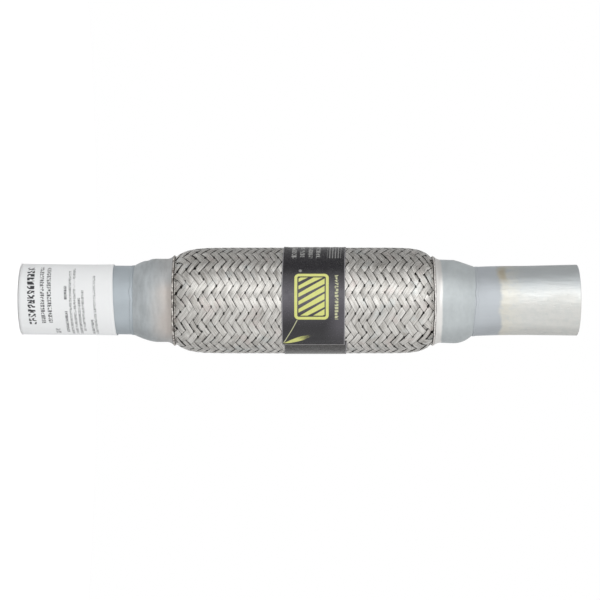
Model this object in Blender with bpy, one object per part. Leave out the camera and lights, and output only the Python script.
"""Exhaust flex pipe: a braided bellows between two pressed necks, each welded to a plain tube stub.

The pipe stands on the end face of its inlet stub. The origin is the centre of that face and
+Z runs along the axis towards the outlet. Every piece is turned round that axis.
All sizes are in metres and all angles in degrees.
"""

import math

import bmesh
import bpy

# Clearances between pieces that seat on each other
SEAT_GAP = 0.00015
RIM_GAP = 0.0003

# Tube stubs
STUB_DIAMETER = 0.040
STUB_WALL = 0.0015
STUB_IN_NECK = 0.012
STUB_EDGE = 0.0003
INLET_STUB_SHOWN = 0.0641
OUTLET_STUB_SHOWN = 0.0592
OUTLET_SWELL = 0.0005
SWELL_LENGTH = 0.030

# Pressed necks
NECK_STEP = 0.0024
NECK_WALL = 0.0015
MOUTH_WALL = 0.0008
NECK_FLARE = 0.0015
FLARE_LENGTH = 0.0045
INLET_NECK_LENGTH = 0.0245
INLET_TAPER_LENGTH = 0.0115
OUTLET_NECK_LENGTH = 0.0245
OUTLET_TAPER_LENGTH = 0.0100
TAPER_POWER = 1.5
FLARE_POWER = 2.0

# Weld beads
FILLET_LEG = 0.0020
FILLET_BULGE = 0.0002
RIM_BEAD_WIDTH = 0.0010

# Braided sleeve
BRAID_LENGTH = 0.1477
BRAID_SWELL = 0.00485
BRAID_THICKNESS = 0.0018
MOUTH_THICKNESS = 0.0012
SHOULDER_LENGTH = 0.0070
STRANDS = 48
STRAND_PITCH = 0.0046
GROOVE_DEPTH = 0.0008
DIVE_DEPTH = 0.0004
GAP_REACH = 0.0011
GAP_SPACING = 0.0135
ROW_PHASE = 8.5
END_MARGIN = 4

# Bellows and the rings on its cuffs
SHEET = 0.0004
CUFF_LENGTH = 0.0100
BELLOWS_PITCH = 0.0080
CREST_SHARE = 0.45
CLAMP_RING_WIDTH = 0.0060
CLAMP_RING_WALL = 0.0004

# Strip-wound liner
LINER_WALL = 0.0009
LINER_STEP = 0.0004
LINER_PITCH = 0.0100
LINER_IN_NECK = 0.0080

# Labels
PAPER_MARGIN = 0.0095
PAPER_INSET = 0.0003
PAPER_THICKNESS = 0.0002
PAPER_WRAP = 320.0
BAND_WIDTH = 0.0357
BAND_FROM_RIM = 0.0618
BAND_THICKNESS = 0.0002
BAND_WRAP = 357.0
BAND_SEAM = 56.7

# Facets round the axis
TURNED_FACETS = 48
LABEL_FACETS = 48
TAPER_STEPS = 4
FLARE_STEPS = 2
SWELL_STEPS = 3
SHARP_ANGLE = 35.0

# Places along the axis, from the inlet end face upwards
INLET_NECK_START = INLET_STUB_SHOWN
BRAID_START = INLET_NECK_START + INLET_NECK_LENGTH
BRAID_END = BRAID_START + BRAID_LENGTH
OUTLET_NECK_END = BRAID_END + OUTLET_NECK_LENGTH
PIPE_LENGTH = OUTLET_NECK_END + OUTLET_STUB_SHOWN

# Radii that follow from the sizes above
STUB_RADIUS = STUB_DIAMETER / 2
MOUTH_INNER = STUB_RADIUS + SEAT_GAP
MOUTH_OUTER = MOUTH_INNER + MOUTH_WALL
NECK_INNER = MOUTH_INNER + NECK_STEP
RIM_INNER = NECK_INNER + NECK_FLARE
RIM_OUTER = RIM_INNER + NECK_WALL
CUFF_OUTER = RIM_INNER - 2 * SEAT_GAP
CUFF_INNER = CUFF_OUTER - SHEET
CLAMP_INNER = CUFF_OUTER + SEAT_GAP
CLAMP_OUTER = CLAMP_INNER + CLAMP_RING_WALL
BRAID_MOUTH = CLAMP_OUTER + SEAT_GAP + MOUTH_THICKNESS
BRAID_OUTER = BRAID_MOUTH + BRAID_SWELL
LINER_OUTER = NECK_INNER - 2 * SEAT_GAP

# Rows of strands round the sleeve: an even number, because they lean left and right in turn
ROWS = 2 * round(STRANDS / 4)


def clear_scene():
    """Removes whatever the file opened with."""
    for old in list(bpy.data.objects):
        bpy.data.objects.remove(old)


def metal(name, colour, roughness, metallic=1.0):
    """A Principled material with one colour."""
    material = bpy.data.materials.new(name)
    material.use_nodes = True
    shader = material.node_tree.nodes["Principled BSDF"]
    shader.inputs["Base Color"].default_value = (*colour, 1.0)
    shader.inputs["Roughness"].default_value = roughness
    shader.inputs["Metallic"].default_value = metallic
    return material


def finish(name, bm, material):
    """Turns a bmesh into a smooth-shaded object with its faces pointing out."""
    bmesh.ops.recalc_face_normals(bm, faces=bm.faces)
    mesh = bpy.data.meshes.new(name)
    bm.to_mesh(mesh)
    bm.free()
    mesh.shade_smooth()
    mesh.set_sharp_from_angle(angle=math.radians(SHARP_ANGLE))
    mesh.materials.append(material)
    made = bpy.data.objects.new(name, mesh)
    bpy.context.scene.collection.objects.link(made)
    return made


def on_axis(radius, degrees, height):
    """A point at a radius and an angle; angle 0 faces -Y and grows towards +X."""
    angle = math.radians(degrees)
    return (radius * math.sin(angle), -radius * math.cos(angle), height)


def turned(name, outline, facets, material):
    """Spins a closed outline of (radius, height) points all the way round the axis."""
    bm = bmesh.new()
    corners = [bm.verts.new(on_axis(radius, ROW_PHASE, height)) for radius, height in outline]
    edges = [bm.edges.new((a, b)) for a, b in zip(corners, corners[1:] + corners[:1])]
    bmesh.ops.spin(
        bm,
        geom=corners + edges,
        cent=(0.0, 0.0, 0.0),
        axis=(0.0, 0.0, 1.0),
        angle=math.tau,
        steps=facets,
        use_merge=True,
        use_duplicate=False,
    )
    return finish(name, bm, material)


def ring(inner, outer, low, high):
    """The outline of a plain ring."""
    return [(outer, low), (outer, high), (inner, high), (inner, low)]


def wrap(name, inner, thickness, low, high, start, sweep, material):
    """A sheet bent round the axis from one angle through a sweep, open at its seam."""
    bm = bmesh.new()
    steps = max(1, round(LABEL_FACETS * sweep / 360))
    section = [(inner + thickness, low), (inner + thickness, high), (inner, high), (inner, low)]
    turns = []
    for step in range(steps + 1):
        degrees = start + sweep * step / steps
        turns.append([bm.verts.new(on_axis(radius, degrees, height)) for radius, height in section])
    for here, there in zip(turns, turns[1:]):
        for i in range(4):
            j = (i + 1) % 4
            bm.faces.new((here[i], here[j], there[j], there[i]))
    bm.faces.new(turns[0])
    bm.faces.new(turns[-1])
    return finish(name, bm, material)


def make_stub(name, end, inward, length, swell, material):
    """A tube with eased edges from its open end inwards; a swollen end is wider at its opening."""
    span = min(SWELL_LENGTH, length / 2)
    stations = [(length, 0.0)]
    if swell:
        for i in range(SWELL_STEPS, 0, -1):
            share = i / SWELL_STEPS
            stations.append((span * share, swell * (1 - share)))
    stations.append((STUB_EDGE, swell))
    outer = [(STUB_RADIUS + more, end + inward * at) for at, more in stations]
    outer.append((STUB_RADIUS + swell - STUB_EDGE, end))
    inner = [(radius - STUB_WALL, height) for radius, height in reversed(outer[:-2])]
    inner.insert(0, (STUB_RADIUS + swell - STUB_WALL, end))
    return turned(name, outer + inner, TURNED_FACETS, material)


def neck_outline(mouth, inward, length, taper):
    """The pressed neck: a taper from its thinned mouth, a cylinder, and a flare to the rim."""
    start = FILLET_LEG / 2
    flare_start = length - FLARE_LENGTH
    stations = []
    for i in range(TAPER_STEPS):
        share = i / TAPER_STEPS
        at = start + (taper - start) * share
        drop = NECK_STEP * (1 - share) ** TAPER_POWER
        stations.append((at, NECK_INNER - drop))
    stations.append((taper, NECK_INNER))
    for i in range(FLARE_STEPS + 1):
        share = i / FLARE_STEPS
        at = flare_start + (FLARE_LENGTH - RIM_BEAD_WIDTH - SEAT_GAP) * share
        stations.append((at, NECK_INNER + NECK_FLARE * share ** FLARE_POWER))
    outer = [(radius + NECK_WALL, mouth + inward * at) for at, radius in stations]
    outer[0] = (MOUTH_OUTER, mouth + inward * start)
    inner = [(radius, mouth + inward * at) for at, radius in reversed(stations)]
    return outer + inner


def fillet_outline(mouth, inward):
    """A weld fillet between the stub's outside and the neck's narrow mouth."""
    foot = STUB_RADIUS + SEAT_GAP
    face = mouth + inward * (FILLET_LEG / 2 - SEAT_GAP)
    toe = mouth - inward * FILLET_LEG / 2
    belly = ((foot + MOUTH_OUTER) / 2 + FILLET_BULGE, (toe + face) / 2)
    return [(foot, toe), belly, (MOUTH_OUTER, face), (foot, face)]


def rim_bead_outline(rim, inward):
    """A low bead round the flared rim, crowned on its outside."""
    far = rim - inward * RIM_BEAD_WIDTH
    middle = rim - inward * RIM_BEAD_WIDTH / 2
    side = RIM_OUTER - SEAT_GAP
    crown = RIM_OUTER + SEAT_GAP
    return [(side, far), (crown, middle), (side, rim), (RIM_INNER, rim), (RIM_INNER, far)]


def fullness(along):
    """How far the sleeve has opened at a distance from its start: 0 at either mouth, near 1 in the middle."""
    to_end = max(0.0, min(along, BRAID_LENGTH - along))
    return 1.0 - math.exp(-to_end / SHOULDER_LENGTH)


def braid_wall(along):
    """The sleeve's thickness: its strands are pressed flat on the clamp rings and loose in the middle."""
    return MOUTH_THICKNESS + (BRAID_THICKNESS - MOUTH_THICKNESS) * fullness(along)


def braid_outside(along):
    """The sleeve's outer radius: an exponential shoulder rises from the clamp ring at each mouth."""
    return BRAID_MOUTH + BRAID_SWELL * fullness(along)


def braid_inside(along):
    """The sleeve's inner radius."""
    return braid_outside(along) - braid_wall(along)


class Sleeve:
    """The braided wall: herringbone ridges outside, a plain wall inside and diamond gaps through it.

    Its columns run along the axis. Even columns lie between two rows of strands, where the
    strands dive under each other, and odd columns lie on the middle of a row. Its lines zigzag
    round the axis by one pitch: even lines are the grooves between strands, odd ones the crests.
    """

    def __init__(self):
        self.low = RIM_GAP
        self.high = BRAID_LENGTH - RIM_GAP
        self.pitches = max(3, round((self.high - self.low) / STRAND_PITCH) - 2)
        self.pitch = (self.high - self.low) / (self.pitches + 2)
        self.lines = 2 * self.pitches
        self.columns = 2 * ROWS
        self.bm = bmesh.new()
        self.split = {}
        self.gaps = self.gap_places()

    def gap_places(self):
        """Which crossings of an even column and a groove line are open."""
        step = 2 * max(1, round(GAP_SPACING / self.pitch))
        places = set()
        for n, line in enumerate(range(END_MARGIN, self.lines - END_MARGIN + 1, step)):
            places.update((column, line) for column in range(2 * (n % 2), self.columns, 4))
        return places

    def along(self, column, line):
        """The distance of a crossing from the sleeve's start."""
        rise = (2 - abs(column % 4 - 2)) / 2
        return self.low + self.pitch * (0.5 + line / 2 + rise)

    def outer_point(self, column, line):
        """A crossing on the ridged outside."""
        along = self.along(column, line)
        depth = GROOVE_DEPTH * (line % 2 == 0) + DIVE_DEPTH * (column % 2 == 0)
        pressed = braid_wall(along) / BRAID_THICKNESS
        return self.point(braid_outside(along) - depth * pressed, column, along)

    def inner_point(self, column, line):
        """The same crossing on the plain inside."""
        along = self.along(column, line)
        return self.point(braid_inside(along), column, along)

    def point(self, radius, column, along):
        """A new corner at a column's angle."""
        degrees = ROW_PHASE + 180.0 * (column - 2) / ROWS
        return self.bm.verts.new(on_axis(radius, degrees, BRAID_START + along))

    def on_edge(self, corner, other):
        """The corner of a gap that lies on the edge from its crossing towards another one."""
        key = (corner, other)
        if key not in self.split:
            way = (other.co - corner.co).normalized()
            self.split[key] = self.bm.verts.new(corner.co + way * GAP_REACH)
        return self.split[key]

    def patch(self, corners, open_corners):
        """One face of the wall, cut back at each corner where a gap is."""
        loop = []
        for i, corner in enumerate(corners):
            if corner in open_corners:
                loop.append(self.on_edge(corner, corners[i - 1]))
                loop.append(self.on_edge(corner, corners[(i + 1) % 4]))
            else:
                loop.append(corner)
        self.bm.faces.new(loop)

    def skin(self, columns, lines, place, radius):
        """A closed grid of faces round the axis; returns its two flat end loops and its crossings."""
        first = [self.point(radius(self.low), c, self.low) for c in columns]
        last = [self.point(radius(self.high), c, self.high) for c in columns]
        grid = {(c, n): place(c, n) for c in columns for n in lines}
        rows = [first] + [[grid[c, n] for c in columns] for n in lines] + [last]
        open_corners = {grid[place_of] for place_of in self.gaps}
        for here, there in zip(rows, rows[1:]):
            for i in range(len(columns)):
                j = (i + 1) % len(columns)
                self.patch((here[i], here[j], there[j], there[i]), open_corners)
        return first, last, grid

    def gap_loop(self, grid, columns, lines, place):
        """The four corners of a gap in one skin, in order round it."""
        column, line = place
        i = columns.index(column)
        n = lines.index(line)
        left = grid[columns[i - 1], line]
        right = grid[columns[(i + 1) % len(columns)], line]
        below = grid[column, lines[n - 1]]
        above = grid[column, lines[n + 1]]
        return [self.split[grid[place], other] for other in (left, below, right, above)]

    def join_ends(self, outside, inside):
        """The flat ring between the two skins at one end: two inner facets share each outer pair."""
        count = len(inside)
        for i in range(count):
            a = outside[2 * i]
            middle = outside[2 * i + 1]
            b = outside[(2 * i + 2) % len(outside)]
            self.bm.faces.new((a, middle, b, inside[(i + 1) % count], inside[i]))

    def build(self, material):
        """The whole wall as one closed solid."""
        outer_columns = list(range(self.columns))
        inner_columns = outer_columns[::2]
        outer_lines = list(range(self.lines + 1))
        gap_lines = sorted({line for _, line in self.gaps})
        inner_lines = sorted({0, 2, self.lines - 2, self.lines, *gap_lines})
        out_first, out_last, outside = self.skin(outer_columns, outer_lines, self.outer_point, braid_outside)
        in_first, in_last, inside = self.skin(inner_columns, inner_lines, self.inner_point, braid_inside)
        for place in sorted(self.gaps):
            front = self.gap_loop(outside, outer_columns, outer_lines, place)
            back = self.gap_loop(inside, inner_columns, inner_lines, place)
            for i in range(4):
                j = (i + 1) % 4
                self.bm.faces.new((front[i], front[j], back[j], back[i]))
        self.join_ends(out_first, in_first)
        self.join_ends(out_last, in_last)
        loose = [grid[place] for grid in (outside, inside) for place in self.gaps]
        bmesh.ops.delete(self.bm, geom=loose, context="VERTS")
        return finish("outer_braid", self.bm, material)


def bellows_outline():
    """Convolutions between two plain cuffs, as one sheet folded out and in."""
    low = BRAID_START - RIM_BEAD_WIDTH
    high = BRAID_END + RIM_BEAD_WIDTH
    first = BRAID_START + CUFF_LENGTH
    last = BRAID_END - CUFF_LENGTH
    count = max(2, round((last - first) / BELLOWS_PITCH))
    pitch = (last - first) / count
    facet = math.cos(math.pi / ROWS)
    crest = braid_inside(CUFF_LENGTH) * facet - 2 * SEAT_GAP
    rise = pitch * (1 - CREST_SHARE) / 2
    outer = [(CUFF_OUTER, low)]
    inner = [(CUFF_INNER, low)]
    for i in range(count):
        root = first + i * pitch
        up = root + rise
        down = root + pitch - rise
        outer += [(CUFF_OUTER, root), (crest, up), (crest, down)]
        inner += [(CUFF_INNER, root), (crest - SHEET, up + SHEET), (crest - SHEET, down - SHEET)]
    outer += [(CUFF_OUTER, last), (CUFF_OUTER, high)]
    inner += [(CUFF_INNER, last), (CUFF_INNER, high)]
    return outer + inner[::-1]


def liner_outline():
    """A sleeve whose strip overlaps itself: a step outwards at each turn."""
    low = BRAID_START - LINER_IN_NECK
    high = BRAID_END + LINER_IN_NECK
    count = max(2, round((high - low) / LINER_PITCH))
    pitch = (high - low) / count
    outer = []
    for i in range(count):
        root = low + i * pitch
        outer += [(LINER_OUTER - LINER_STEP, root), (LINER_OUTER, root + pitch)]
    return outer + [(LINER_OUTER - LINER_WALL, high), (LINER_OUTER - LINER_WALL, low)]


def main():
    """Builds the pieces from the inlet to the outlet."""
    clear_scene()
    tube_steel = metal("tube_steel", (0.62, 0.63, 0.62), 0.35)
    neck_steel = metal("neck_steel", (0.42, 0.45, 0.47), 0.60)
    weld_metal = metal("weld_metal", (0.50, 0.48, 0.45), 0.50)
    braid_wire = metal("braid_wire", (0.60, 0.58, 0.55), 0.40)
    bellows_steel = metal("bellows_steel", (0.40, 0.39, 0.37), 0.45)
    liner_steel = metal("liner_steel", (0.45, 0.44, 0.42), 0.45)
    label_film = metal("label_film", (0.03, 0.03, 0.03), 0.25, metallic=0.0)
    label_paper = metal("label_paper", (0.86, 0.87, 0.88), 0.80, metallic=0.0)

    make_stub("inlet_stub", 0.0, 1.0, INLET_STUB_SHOWN + STUB_IN_NECK, 0.0, tube_steel)
    make_stub("outlet_stub", PIPE_LENGTH, -1.0, OUTLET_STUB_SHOWN + STUB_IN_NECK, OUTLET_SWELL, tube_steel)

    ends = (
        ("inlet", INLET_NECK_START, BRAID_START, 1.0, INLET_NECK_LENGTH, INLET_TAPER_LENGTH),
        ("outlet", OUTLET_NECK_END, BRAID_END, -1.0, OUTLET_NECK_LENGTH, OUTLET_TAPER_LENGTH),
    )
    for side, mouth, rim, inward, length, taper in ends:
        turned(f"{side}_neck", neck_outline(mouth, inward, length, taper), TURNED_FACETS, neck_steel)
        turned(f"{side}_stub_weld", fillet_outline(mouth, inward), TURNED_FACETS, weld_metal)
        turned(f"{side}_rim_weld", rim_bead_outline(rim, inward), TURNED_FACETS, weld_metal)
        near = rim + inward * RIM_GAP
        far = near + inward * CLAMP_RING_WIDTH
        clamp = ring(CLAMP_INNER, CLAMP_OUTER, min(near, far), max(near, far))
        turned(f"{side}_clamp_ring", clamp, ROWS, bellows_steel)

    Sleeve().build(braid_wire)
    turned("bellows", bellows_outline(), ROWS, bellows_steel)
    turned("liner", liner_outline(), ROWS, liner_steel)

    paper_top = INLET_STUB_SHOWN - FILLET_LEG / 2 - PAPER_MARGIN
    paper = (STUB_RADIUS + SEAT_GAP, PAPER_THICKNESS, PAPER_INSET, paper_top)
    wrap("paper_label", *paper, -PAPER_WRAP / 2, PAPER_WRAP, label_paper)
    band_low = BRAID_START + BAND_FROM_RIM
    band = (BRAID_OUTER + SEAT_GAP, BAND_THICKNESS, band_low, band_low + BAND_WIDTH)
    wrap("band_label", *band, BAND_SEAM, BAND_WRAP, label_film)


main()
